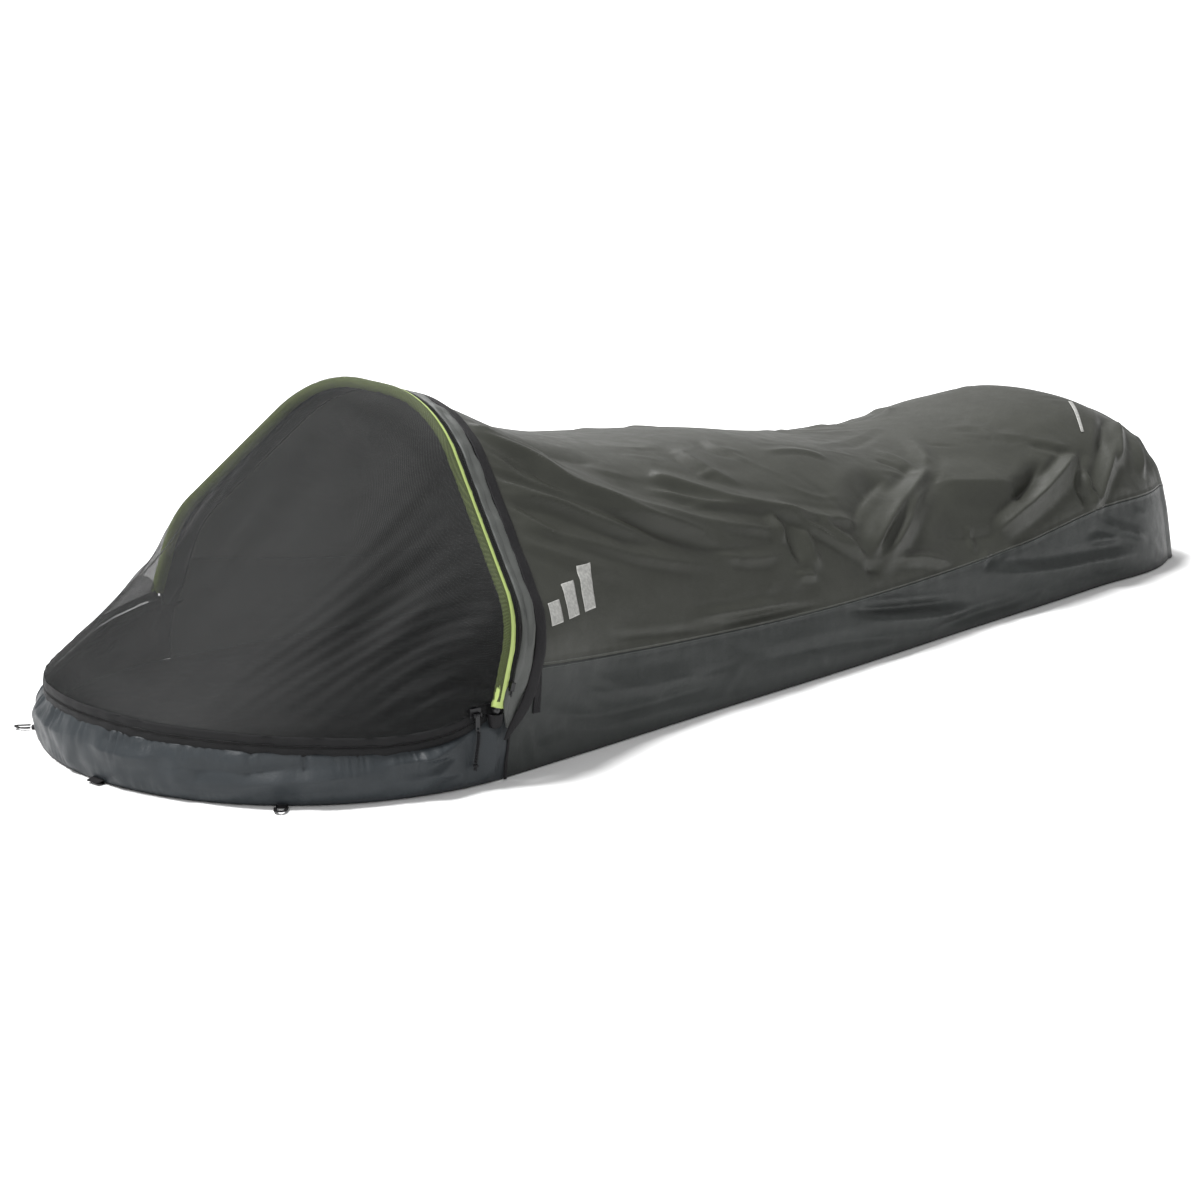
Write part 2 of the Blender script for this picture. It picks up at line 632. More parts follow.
# ---------------------------------------------------------------- folds of the body
# A place is (x, up): distance from the hoop's base line, and distance up from the ground edge of
# the smooth skin, taken from the ridge down. Each fold has its line, its height, and its half
# widths above and below the line.
NEAR_FOLDS = [
    # tension folds that fan out from the hoop's shoulder
    ([(0.10, 0.100), (0.165, 0.144), (0.239, 0.185), (0.277, 0.222), (0.333, 0.244), (0.384, 0.270),
      (0.449, 0.285), (0.517, 0.298), (0.634, 0.313)], 0.0125, 0.045, 0.015),
    ([(0.140, 0.100), (0.179, 0.135), (0.255, 0.163), (0.310, 0.190)], 0.0045, 0.011, 0.007),
    ([(0.140, 0.150), (0.192, 0.190), (0.240, 0.212)], 0.0040, 0.010, 0.007),
    ([(0.140, 0.170), (0.167, 0.190), (0.210, 0.232)], 0.0035, 0.010, 0.008),
    ([(0.120, 0.245), (0.167, 0.260), (0.216, 0.267), (0.273, 0.283), (0.332, 0.298), (0.420, 0.312)],
     0.0075, 0.024, 0.011),
    ([(0.120, 0.275), (0.161, 0.294), (0.180, 0.310), (0.215, 0.330)], 0.0035, 0.012, 0.009),
    ([(0.180, 0.115), (0.245, 0.129), (0.355, 0.148), (0.410, 0.136)], -0.0070, 0.030, 0.030),
    ([(0.100, 0.330), (0.150, 0.345), (0.230, 0.362), (0.330, 0.372)], 0.0030, 0.020, 0.012),
    ([(0.110, 0.190), (0.200, 0.228), (0.330, 0.262), (0.480, 0.296)], 0.0050, 0.016, 0.009),
    ([(0.090, 0.212), (0.180, 0.250), (0.290, 0.284)], 0.0040, 0.013, 0.008),
    ([(0.300, 0.232), (0.420, 0.262), (0.560, 0.286), (0.700, 0.300)], 0.0045, 0.015, 0.010),
    ([(0.430, 0.205), (0.520, 0.238), (0.640, 0.258)], 0.0045, 0.013, 0.009),
    ([(0.100, 0.300), (0.210, 0.322), (0.360, 0.338), (0.520, 0.345)], 0.0040, 0.015, 0.010),
    ([(0.480, 0.325), (0.560, 0.335), (0.640, 0.330)], 0.0035, 0.011, 0.009),
    # creases across the top
    ([(0.560, 0.085), (0.563, 0.141), (0.575, 0.180), (0.600, 0.208)], -0.0050, 0.010, 0.014),
    ([(0.600, 0.070), (0.592, 0.130), (0.606, 0.180), (0.640, 0.215)], 0.0060, 0.022, 0.012),
    ([(0.676, 0.050), (0.651, 0.105), (0.690, 0.140)], -0.0045, 0.011, 0.010),
    ([(0.705, 0.045), (0.680, 0.095), (0.715, 0.125)], 0.0045, 0.014, 0.011),
    ([(0.470, 0.172), (0.491, 0.187), (0.567, 0.227), (0.664, 0.259), (0.756, 0.277)], 0.0060, 0.022, 0.013),
    ([(0.743, 0.120), (0.827, 0.121), (0.875, 0.146)], 0.0050, 0.014, 0.009),
    ([(0.900, 0.085), (0.980, 0.055), (1.070, 0.020), (1.170, -0.020)], 0.0060, 0.018, 0.012),
    ([(0.960, 0.092), (1.030, 0.062), (1.110, 0.025)], -0.0050, 0.009, 0.009),
    ([(0.430, 0.060), (0.520, 0.085), (0.610, 0.060)], 0.0035, 0.025, 0.020),
    # the notch
    ([(0.644, 0.262), (0.641, 0.320)], 0.0060, 0.007, 0.014),
    ([(0.662, 0.275), (0.664, 0.352)], -0.0100, 0.010, 0.010),
    ([(0.690, 0.285), (0.692, 0.362)], 0.0060, 0.014, 0.010),
    ([(0.645, 0.362), (0.690, 0.368)], 0.0040, 0.008, 0.008),
    # the two arms and the long pair of folds that meet low on the side
    ([(0.650, 0.258), (0.697, 0.285), (0.755, 0.318), (0.812, 0.352)], 0.0065, 0.015, 0.008),
    ([(0.730, 0.280), (0.756, 0.299), (0.812, 0.352)], 0.0060, 0.012, 0.008),
    ([(0.630, 0.252), (0.743, 0.278), (0.840, 0.283)], 0.0050, 0.012, 0.009),
    ([(0.810, 0.354), (0.830, 0.326), (0.869, 0.292), (0.945, 0.243), (1.033, 0.193), (1.085, 0.155)],
     0.0115, 0.016, 0.012),
    ([(0.815, 0.356), (0.869, 0.322), (0.920, 0.285), (0.974, 0.243), (1.060, 0.200)], 0.0105, 0.010, 0.018),
    ([(0.790, 0.315), (0.840, 0.258), (0.905, 0.212), (0.960, 0.185)], -0.0105, 0.026, 0.016),
    ([(0.795, 0.362), (0.812, 0.360), (0.830, 0.362)], -0.0060, 0.010, 0.010),
    ([(0.980, 0.132), (1.004, 0.153), (1.035, 0.190)], -0.0065, 0.010, 0.008),
    ([(1.020, 0.095), (1.036, 0.135), (1.040, 0.180)], 0.0050, 0.012, 0.010),
    ([(1.060, 0.170), (1.105, 0.130), (1.140, 0.045)], 0.0075, 0.022, 0.015),
    # the flat side before the feet, and the folds over the feet
    ([(1.030, 0.208), (1.126, 0.224), (1.235, 0.246)], 0.0080, 0.045, 0.026),
    ([(0.960, 0.300), (1.080, 0.310), (1.200, 0.305)], -0.0095, 0.045, 0.034),
    ([(1.200, 0.055), (1.260, 0.085), (1.280, 0.134), (1.325, 0.162)], 0.0055, 0.018, 0.012),
    ([(1.300, 0.160), (1.340, 0.200), (1.390, 0.222)], -0.0055, 0.009, 0.010),
    ([(1.118, 0.326), (1.155, 0.297), (1.218, 0.276), (1.277, 0.259), (1.352, 0.232), (1.380, 0.214)],
     0.0125, 0.012, 0.020),
    ([(1.185, 0.268), (1.239, 0.250), (1.300, 0.212)], -0.0105, 0.020, 0.013),
    ([(1.071, 0.285), (1.060, 0.338)], 0.0035, 0.008, 0.007),
    ([(1.066, 0.354), (1.100, 0.334)], 0.0035, 0.007, 0.007),
    ([(1.369, 0.324), (1.371, 0.291), (1.369, 0.230)], 0.0085, 0.010, 0.010),
    ([(1.372, 0.322), (1.392, 0.296), (1.430, 0.262), (1.520, 0.192)], 0.0105, 0.014, 0.015),
    ([(1.455, 0.262), (1.504, 0.213), (1.595, 0.110)], 0.0080, 0.010, 0.014),
    ([(1.425, 0.245), (1.485, 0.190), (1.560, 0.125)], -0.0080, 0.012, 0.010),
    ([(1.362, 0.310), (1.352, 0.270), (1.410, 0.210)], -0.0070, 0.009, 0.009),
    ([(1.520, 0.284), (1.560, 0.215), (1.605, 0.140)], 0.0065, 0.012, 0.010),
    ([(1.556, 0.270), (1.590, 0.205), (1.610, 0.150)], -0.0045, 0.009, 0.009),
    # along and under the side seam
    ([(0.445, 0.433), (0.525, 0.423), (0.592, 0.416), (0.700, 0.410)], -0.0050, 0.007, 0.006),
    ([(0.400, 0.424), (0.500, 0.411), (0.640, 0.402)], 0.0040, 0.010, 0.007),
    ([(0.221, 0.462), (0.341, 0.446), (0.440, 0.434)], -0.0030, 0.007, 0.006),
    ([(0.860, 0.342), (0.932, 0.337), (1.010, 0.348)], 0.0050, 0.008, 0.011),
    ([(0.714, 0.424), (0.827, 0.418), (0.911, 0.412), (1.037, 0.404)], -0.0075, 0.008, 0.008),
    ([(0.740, 0.440), (0.900, 0.432), (1.060, 0.420)], 0.0060, 0.009, 0.018),
    ([(0.930, 0.446), (1.060, 0.432), (1.200, 0.424)], -0.0060, 0.010, 0.012),
    ([(1.050, 0.366), (1.200, 0.382), (1.348, 0.398), (1.520, 0.412)], 0.0080, 0.012, 0.022),
    ([(1.340, 0.363), (1.453, 0.374)], 0.0035, 0.008, 0.008),
    ([(1.375, 0.334), (1.453, 0.367), (1.520, 0.385)], 0.0050, 0.011, 0.008),
    # soft waves in the lower wall
    ([(0.070, 0.588), (0.157, 0.574), (0.233, 0.560), (0.367, 0.530), (0.529, 0.506)], -0.0038, 0.011, 0.012),
    ([(0.150, 0.545), (0.300, 0.518), (0.470, 0.488)], 0.0030, 0.016, 0.014),
    ([(0.500, 0.486), (0.700, 0.470), (0.900, 0.458)], -0.0035, 0.012, 0.014),
    ([(0.300, 0.570), (0.500, 0.545), (0.720, 0.520)], 0.0030, 0.014, 0.014),
    ([(0.044, 0.598), (0.045, 0.690)], 0.0030, 0.006, 0.006),
    ([(0.064, 0.598), (0.080, 0.675)], 0.0032, 0.007, 0.006),
    ([(0.090, 0.610), (0.112, 0.670)], -0.0022, 0.008, 0.008),
]

near_place = np.stack([flat[..., 0], from_ridge], axis=-1)      # up is towards the ridge
far_place = np.stack([flat[..., 0], -from_ridge], axis=-1)


def mirrored(line, shift, stretch):
    return [(x * stretch + shift, d * 1.01 + 0.004) for x, d in line]


FOLD_DEPTH = 1.45                                  # how much deeper all folds are than their own heights
near_relief, far_relief = np.zeros(from_ridge.shape), np.zeros(from_ridge.shape)
for line, height, above, below in NEAR_FOLDS:
    if np.mean([d for _, d in line]) < 0.16:       # the top is stretched flatter than the sides
        height *= 0.6
    height *= 0.75 if height < 0 else 1.0
    above, below = 0.8 * above, 0.8 * below
    crease(near_relief, near_place, [(x, -d) for x, d in line], height, above, below)
    other = [(x, -d) for x, d in mirrored(line, 0.030, 0.975)]
    crease(far_relief, far_place, other, 0.85 * height, 1.1 * above, 1.1 * below)

rng = np.random.default_rng(20)
for target, place in ((near_relief, near_place), (far_relief, far_place)):
    for _ in range(120):
        x, d = rng.uniform(0.06, 1.60), rng.uniform(0.06, 0.60)
        length, turn = rng.uniform(0.05, 0.17), rng.normal(0, 0.42) - (0.35 if d < 0.35 else 0.05)
        bend = rng.normal(0, 0.10) * length
        run = np.array((cos(turn), sin(turn)))
        middle = np.array((x, -d)) + bend * np.array((-run[1], run[0]))
        line = [np.array((x, -d)) - run * length / 2, middle, np.array((x, -d)) + run * length / 2]
        width = rng.uniform(0.0045, 0.011)
        height = rng.uniform(0.0005, 0.0014) * rng.choice((1, 1, -1))
        crease(target, place, line, height, width, width * rng.uniform(0.7, 1.3), fade=0.45)

relief = FOLD_DEPTH * (near_relief + far_relief)
flowing = np.stack([skin[..., 0] * 0.55, skin[..., 1], skin[..., 2]], axis=-1)
relief += 0.0020 * ripple(flowing, 0.190, 31) + 0.0004 * ripple(flowing, 0.060, 32, 12)
relief *= 1 - 0.72 * step(np.abs(from_ridge), 0.150, 0.030)

# the raised double seam along each side, and the puckers that it pulls
for column in (FIRST_SEAM, LAST_SEAM):
    off = from_ridge - from_ridge[:, [column]]
    relief += 0.0013 * step(np.abs(off), 0.0062, 0.0036)
    beat = skin[..., 0] / 0.034 + 1.3 * ripple(skin[..., :1], 0.11, 40 + column)
    relief += 0.0006 * np.sin(2 * pi * beat) * np.exp(-((off / 0.016) ** 2))

relief[1:-1] = (relief[:-2] + 2 * relief[1:-1] + relief[2:]) / 4
to_front = run_of(skin, 0)
to_ground = np.minimum(along_v, along_v[:, -1:] - along_v)
relief *= step(to_front, 0.010, 0.050) * step(to_ground, 0.0, 0.028)
rear = skin[..., 0] - HX
relief *= 1 - 0.6 * step(rear, 1.550, 1.600)
folded = skin + out * relief[..., None]
folded[..., 2] = np.maximum(folded[..., 2], 0.0012)

# ---------------------------------------------------------------- stage and light
ground_corners = [(-60, -60, -0.0008), (60, -60, -0.0008), (60, 60, -0.0008), (-60, 60, -0.0008)]
floor = mesh_object("ground", ground_corners, [(0, 1, 2, 3)], [])
n = Nodes("ground")
n.set(Base_Color=n.mix(n.noise(2.0), (0.86, 0.86, 0.86, 1), (0.88, 0.88, 0.88, 1)), Roughness=0.9)
floor.data.materials.append(n.mat)

world = bpy.data.worlds.new("studio")
world.use_nodes = True
world.node_tree.nodes["Background"].inputs["Color"].default_value = (1, 1, 1, 1)
world.node_tree.nodes["Background"].inputs["Strength"].default_value = 0.55
scene.world = world


def area_light(name, place, target, size, power):
    data = bpy.data.lights.new(name, "AREA")
    data.shape, data.size, data.size_y, data.energy = "RECTANGLE", *size, power
    lamp = bpy.data.objects.new(name, data)
    scene.collection.objects.link(lamp)
    lamp.location = place
    lamp.rotation_euler = (Vector(target) - Vector(place)).to_track_quat("-Z", "Y").to_euler()


sun = bpy.data.lights.new("overhead", "SUN")
sun.energy, sun.angle = 4.3, radians(14)
lamp = bpy.data.objects.new("overhead", sun)
lamp.rotation_euler = Vector((0.30, -0.28, -0.90)).to_track_quat("-Z", "Y").to_euler()
scene.collection.objects.link(lamp)
area_light("over_far_side", (0.5, 2.4, 2.6), (0, 0, 0.15), (3.4, 1.4), 80)
area_light("into_hood", (-2.7, -1.9, 0.9), (0.1, 0.1, 0.25), (2.2, 1.6), 22)
scene.view_settings.view_transform = "Standard"


def turns_with_hoop(obj):
    """Fabric that follows the sack low down and behind, and the clamshell next to the hoop."""
    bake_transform(obj)
    return obj


# the foot end: the last section turned over a puffed edge and drawn in to its bottom middle
CAP_DEPTH, EDGE_ROWS = FOOT - 1.612, 22
shrink = np.concatenate([np.linspace(0, 0.20, EDGE_ROWS), np.linspace(0.20, 0.985, 19)[1:]])[:, None]
last_ring = folded[-1]
puffed = CAP_DEPTH * (1 - (1 - np.minimum(shrink / 0.17, 1)) ** 2.1) ** 0.62 - 0.008 * step(shrink, 0.2, 0.9)
cap_y, cap_z = last_ring[:, 1] * (1 - shrink), last_ring[:, 2] * (1 - shrink) + 0.0012 * shrink
push = last_ring[:, 0] - HX - 1.612 + foot_lean(1.612, last_ring[:, 2])
cap_x = HX + 1.612 + push * step(1 - shrink, 0.85, 1.0) - foot_lean(1.612, cap_z) + puffed
gather = np.sin(2 * pi * (along_v[-1] / 0.060 + 0.9 * ripple(along_v[-1][:, None], 0.2, 51)))
cap_x = cap_x + 0.0020 * gather * step(shrink, 0.05, 0.2) * step(1 - shrink, 0.25, 0.85)
cap = np.stack([cap_x, cap_y, cap_z], axis=-1)
cap[..., 0] += 0.0030 * ripple(cap[..., 1:], 0.10, 52) * step(shrink, 0.05, 0.3)
whole = np.concatenate([folded, cap[1:EDGE_ROWS]])

for side, (first, last) in (("right", (0, FIRST_SEAM)), ("left", (LAST_SEAM, len(V) - 1))):
    wall = turns_with_hoop(cloth(f"wall_{side}", whole[:, first:last + 1], wall_fabric, wall_inside))
    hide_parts(f"side_wall_{side}")
top = turns_with_hoop(cloth("body_top", whole[:, FIRST_SEAM:LAST_SEAM + 1], top_fabric, top_inside))
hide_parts("hood_panel", "body_top_panel")
foot_end = cloth("foot_end", cap[EDGE_ROWS - 1:], top_fabric, top_inside)
put(foot_end, "sack", ["foot_end_panel"])

# ---------------------------------------------------------------- floor
floor_x = np.concatenate([
    -RIM_R * np.cos(np.linspace(0.02, pi / 2, 60)), np.linspace(0, FOOT - 0.004, 240)[1:]])
floor_half = np.where(
    floor_x < 0, np.sqrt(np.maximum(RIM_R**2 - floor_x**2, 1e-9)) + 0.001,
    smooth(np.maximum(floor_x, 0), STATIONS[:, 0], STATIONS[:, 1]) - 0.001)
across = np.linspace(-1, 1, 90)
floor_grid = np.stack([
    np.broadcast_to(HX + floor_x[:, None], (len(floor_x), 90)), floor_half[:, None] * across,
    np.full((len(floor_x), 90), 0.0020)], axis=-1)
inner = step(1 - np.abs(across), 0.02, 0.25) * step(floor_x[:, None], -RIM_R, -RIM_R + 0.07)
floor_grid[..., 2] += inner * (0.0045 + 0.0040 * ripple(floor_grid[..., :2], 0.13, 61)
                               + 0.0012 * ripple(floor_grid[..., :2], 0.04, 62, 12))
floor_grid[..., 2] = np.maximum(floor_grid[..., 2], 0.0018)
bottom = cloth("floor", floor_grid, floor_fabric, floor_fabric, thick=0.0010)
put(bottom, "sack", ["floor_panel"])

# ---------------------------------------------------------------- rim of the head tub
RIM_DEGREES = [-90, -82, -74, -65, -56, -43, -32, -20, -10, 0, 10, 20, 30, 40, 50, 62, 74, 83, 90]
RIM_HEIGHTS = [0.0980, 0.0800, 0.0735, 0.0735, 0.0770, 0.0810, 0.0840, 0.0850, 0.0870, 0.0870,
               0.0860, 0.0830, 0.0800, 0.0780, 0.0780, 0.0810, 0.0860, 0.0920, 0.0980]
RIM_PULLED_IN = [0, 0, 0, 0, 0, 0, 0, 0, 0, 0, 0.002, 0.006, 0.013, 0.021, 0.025, 0.019, 0.007, 0.001, 0]


def rim_height(turn):
    """Height of the zipper's line at this many degrees from the head's tip."""
    return smooth(turn, RIM_DEGREES, RIM_HEIGHTS)


def rim(turn, out, rise, follow=True):
    """Point at turn degrees from the head's tip (right is negative), out from the rim's radius."""
    turn, out, rise = np.broadcast_arrays(np.asarray(turn, float), out, rise)
    a = np.radians(turn)
    z = rim_height(turn) + rise if follow else rise
    r = RIM_R + out - (smooth(turn, RIM_DEGREES, RIM_PULLED_IN) if follow else 0)
    return np.stack([HX - r * np.cos(a), r * np.sin(a), z], axis=-1)


# tub wall: its two ends run straight on to the bound seams behind the pole's feet
TUB_ROWS, TUB_FOOT, SEAM_TOP = 34, 0.0016, 0.086
tail = np.linspace(1, 0, 9)[:-1]
turns = np.linspace(-90, 90, 330)


def seam_x(z):
    """Distance behind the base line of the bound seam between tub and side wall."""
    return smooth(z, [0, 0.040, 0.070, 0.086], [0.0175, 0.0215, 0.0300, 0.0470])


def with_tails(right, middle, left):
    """Values for the tub's right end, its round part and its left end, in a row."""
    return np.concatenate([np.broadcast_to(right, len(tail)), middle, np.broadcast_to(left, len(tail))])


tub_top = with_tails(SEAM_TOP, rim_height(turns) - 0.0092, SEAM_TOP)
at = with_tails(-90.0, turns, 90.0)
past_end = with_tails(-tail, np.zeros(len(turns)), tail[::-1])
ends = np.abs(past_end)
level = np.linspace(0, 1, TUB_ROWS)[:, None] * np.ones(len(at))
tub_z = TUB_FOOT + level * (tub_top - TUB_FOOT)
puff = 0.0105 * np.sin(pi * level) ** 0.8 - 0.0004
arc = np.radians(at) * RIM_R + past_end * 0.03
place = np.stack([np.broadcast_to(arc, tub_z.shape), tub_z], axis=-1)
# short gathers under the zipper and along the floor, and soft hollows between
under = tub_top - tub_z
beat = arc / 0.0125 + 1.1 * ripple(arc[:, None], 0.07, 71)
reach = 0.017 + 0.007 * ripple(arc[:, None], 0.05, 72)
gathered = np.clip(0.55 + 0.55 * ripple(arc[:, None], 0.09, 76), 0.05, 1.2)
gathers = np.sin(2 * pi * beat) * np.exp(-((under / reach) ** 1.6)) * step(under, -0.001, 0.006)
puff = puff + 0.0034 * gathered * gathers
beat = arc / 0.021 + 1.2 * ripple(arc[:, None], 0.11, 73)
puff = puff + 0.0011 * np.sin(2 * pi * beat) * np.exp(-((tub_z / 0.014) ** 1.5)) * step(tub_z, 0.001, 0.008)
puff = puff + 0.0022 * ripple(place, 0.085, 74) * step(level, 0, 0.25) * step(1 - level, 0, 0.3)
puff = puff + 0.0008 * ripple(place, 0.03, 75, 12) * step(level, 0, 0.2) * step(1 - level, 0, 0.2)
tub_relief = np.zeros_like(tub_z)
for side in (1, -1):
    spot = place * (side, 1)
    corner = radians(-90) * RIM_R
    for line, height, above, below in (
        ([(corner - 0.004, 0.084), (corner + 0.040, 0.066), (corner + 0.095, 0.054), (corner + 0.17, 0.050)],
         0.0050, 0.006, 0.009),
        ([(corner - 0.004, 0.080), (corner + 0.030, 0.054), (corner + 0.070, 0.036), (corner + 0.12, 0.026)],
         0.0045, 0.006, 0.009),
        ([(corner - 0.006, 0.074), (corner + 0.010, 0.045), (corner + 0.030, 0.016)], 0.0035, 0.005, 0.007),
        ([(corner + 0.010, 0.070), (corner + 0.060, 0.060), (corner + 0.120, 0.058)], 0.0030, 0.005, 0.006),
        ([(corner + 0.16, 0.044), (corner + 0.26, 0.036), (corner + 0.36, 0.030)], 0.0025, 0.008, 0.010),
        ([(corner + 0.24, 0.058), (corner + 0.34, 0.046), (corner + 0.46, 0.044)], -0.0022, 0.009, 0.009),
        ([(corner + 0.42, 0.060), (corner + 0.50, 0.050), (corner + 0.58, 0.052)], 0.0022, 0.008, 0.010),
    ):
        crease(tub_relief, spot, line, height, above, below)
puff = puff + 2.1 * tub_relief
puff = puff * step(level, 0, 0.06) * step(1 - level, 0, 0.04)
beside = np.maximum(np.abs(np.abs(arc) - radians(85.5) * RIM_R) - 0.010, 0)     # room where the cord hangs
puff = np.minimum(puff, 0.0034 + 0.30 * beside)
puff = puff - smooth(at, RIM_DEGREES, RIM_PULLED_IN) * level**1.3
a = np.radians(at)
tub_grid = np.stack([
    HX - (RIM_R + puff) * np.cos(a), (RIM_R + 0.002 * (1 - level**2) + puff) * np.sin(a), tub_z], axis=-1)
tub_grid[..., 0] += ends * seam_x(tub_z)
straight = RIM_R + 0.002 * (1 - level**2 * (1 - ends)) + puff * (1 - 0.6 * ends) + 0.0015 * ends
tub_grid[..., 1] = np.where(ends > 0, np.sign(tub_grid[..., 1]) * straight, tub_grid[..., 1])
tub = cloth("head_tub", tub_grid, tub_fabric, tub_inside)
put(tub, "sack", ["head_tub_wall"])


def coil(name, line, radius, strand, pitch, mat, toward=(0, 0, 1.0)):
    """A zipper's coil: a fine helix along a line of points."""
    at, mid = resampled(line, lambda length: int(length / pitch * 7))
    forward, side, up = axes_along(mid, toward)
    turn = (2 * pi * at / pitch)[:, None]
    spoke = np.cos(turn) * side + np.sin(turn) * up
    return tube(name, rings_round(mid + radius * spoke, strand, spoke, forward, points=4), mat)


TAPE = ((0.0012, 0.0008), (0.0030, 0.0014), (0.0065, 0.0014), (0.0100, 0.0010), (0.0128, 0.0002))
rim_turns = np.linspace(-89, 89, 300)
wave = 0.0006 * ripple(rim_turns[:, None], 6.0, 81)
for part, body, flare in (("lower", "sack", -1), ("upper", "clamshell", 1)):
    grid = np.stack([rim(rim_turns, out_by + wave, flare * across_by) for across_by, out_by in TAPE], axis=1)
    tape = cloth(f"rim_tape_{part}", grid, tape_cloth, thick=0.0012, flip=flare > 0)
    put(tape, body, [f"rim_zipper_tape_{part}"])
    teeth = coil(f"rim_teeth_{part}", rim(rim_turns, 0.0006, flare * 0.0012), 0.0010, 0.00042, 0.0030,
                 coil_nylon)
    put(teeth, body, [f"rim_coil_{part}"])

# ---------------------------------------------------------------- netting canopy
NET_COLS, NET_ROWS, WRAP_ROWS = 260, 110, 9
net_turn = np.linspace(-1, 1, NET_COLS)
net_s = net_turn * s_at_height(0.012)
low_edge = rim(net_turn * 88.8, 0.0004, 0.0112)
# it wraps the front of the sleeve from where it touches it to a line on the sleeve's outer side
pull = low_edge - hoop(net_s, 0.0, 0.0)
out_y, out_h = (np.interp(net_s, fine_s, c) for c in outward.T)
pull_t = pull[:, 0] * COS_L - pull[:, 2] * SIN_L
pull_out = pull[:, 0] * out_h * SIN_L + pull[:, 1] * out_y + pull[:, 2] * out_h * COS_L
touch = np.clip(np.arctan2(-pull_t, pull_out), radians(117), radians(150))
WRAP_R = 0.0080
top_edge = hoop(net_s, WRAP_R * np.cos(touch), WRAP_R * np.sin(touch))
rise = np.linspace(0, 1, NET_ROWS)[:, None, None]
net = low_edge + (top_edge - low_edge) * rise
slope = normals(net)
middle = np.sin(pi * rise[..., 0])
net_relief = -0.022 * middle * np.cos(net_turn * 1.5)
fan = net_turn * (1.25 - 0.45 * rise[..., 0])      # drape folds come together towards the crown
beat = fan * 6.4 + 0.55 * ripple(np.stack([fan, 0.4 * rise[..., 0] + 0 * fan], axis=-1), 0.9, 91)
depth = (0.0011 + 0.0010 * ripple(np.stack([fan, rise[..., 0] + 0 * fan], axis=-1), 0.7, 92)) * middle**0.8
net_relief = net_relief + depth * np.sin(2 * pi * beat)
beat = fan * 19 + 0.8 * ripple(np.stack([fan, 0.5 * rise[..., 0] + 0 * fan], axis=-1), 0.5, 93)
net_relief = net_relief + 0.0004 * np.sin(2 * pi * beat) * middle
rng = np.random.default_rng(9)
flat_net = np.stack([fan * 0.55, rise[..., 0] * 0.45 + 0 * fan], axis=-1)
for _ in range(46):
    x, y = rng.uniform(-0.62, 0.62), rng.uniform(0.05, 0.42)
    lean = rng.normal(0, 0.06) - 0.08 * x
    length = rng.uniform(0.08, 0.26)
    line = [(x - lean * length / 2, y - length / 2), (x + rng.normal(0, 0.004), y),
            (x + lean * length / 2, y + length / 2)]
    crease(net_relief, flat_net, line, rng.uniform(-0.0012, 0.0018), rng.uniform(0.009, 0.018),
           rng.uniform(0.007, 0.016), fade=0.5)
net_relief = net_relief * step(rise[..., 0], 0, 0.10) * step(1 - rise[..., 0], 0, 0.10)
net = net + slope * net_relief[..., None]
wrap = touch + (radians(112) - touch) * np.linspace(0, 1, WRAP_ROWS)[1:, None]
net = np.concatenate([net, hoop(net_s, WRAP_R * np.cos(wrap), WRAP_R * np.sin(wrap))])
canopy = cloth("mesh_netting", net, netting, thick=0.0004)
put(canopy, "clamshell", ["mesh_canopy"])
# the far left corner is doubled with a triangle of the same netting
u, v = np.linspace(0, 1, 40)[:, None], np.linspace(0.06, 1, 46)[None, :]
row, col = u * 0.60 * v**0.75 * (NET_ROWS - 1), (0.5 + 0.5 * (0.56 + 0.43 * v)) * (NET_COLS - 1) + 0 * u
lie = net - normals(net) * 0.0009
i, j = np.minimum(row.astype(int), NET_ROWS - 2), np.minimum(col.astype(int), NET_COLS - 2)
fi, fj = (row - i)[..., None], (col - j)[..., None]
corner_grid = ((lie[i, j] * (1 - fi) + lie[i + 1, j] * fi) * (1 - fj)
               + (lie[i, j + 1] * (1 - fi) + lie[i + 1, j + 1] * fi) * fj)
corner = put(cloth("netting_corner", corner_grid, netting, thick=0.0004), "clamshell")

# ---------------------------------------------------------------- bands of the hoop
def hoop_sheet(name, low, path, mat, node, columns=420,
               wobble=lambda s, k: (0.0, 0.0)):
    """A strip along the hoop from height low on both legs; path gives its section's points.

    wobble gives what is added at distances s to the t and out of point k."""
    s = np.linspace(-s_at_height(low), s_at_height(low), columns)
    rows = []
    for k, (t, o) in enumerate(path):
        more_t, more_out = wobble(s, k)
        rows.append(hoop(s, t + more_t, o + more_out))
    obj = cloth(name, np.stack(rows, axis=1), mat, flip=True)
    put(obj, "clamshell", [node])


turn = np.radians(np.linspace(8, 352, 26))
ring = [(0.0066 * cos(a) - 0.0002, 0.0063 * sin(a)) for a in turn]
sleeve_path = [(0.0128, 0.0006), (0.0096, 0.0008)] + ring + [(0.0100, -0.0008), (0.0128, -0.0006)]


def sleeve_wobble(s, k):
    """Small cross wrinkles, deeper on the inside of the bend."""
    inside = max(0.0, -sleeve_path[k][1] / 0.0063)
    fine_wave = np.sin(2 * pi * (s / 0.011 + 0.7 * ripple(s[:, None], 0.05, 101)))
    return 0.0, (0.00010 + 0.0006 * inside) * fine_wave + 0.00015 * ripple(s[:, None] + k * 0.003, 0.03, 102)


hoop_sheet("pole_sleeve_lime", 0.004, sleeve_path, lime_fabric, "pole_sleeve",
           columns=520, wobble=sleeve_wobble)

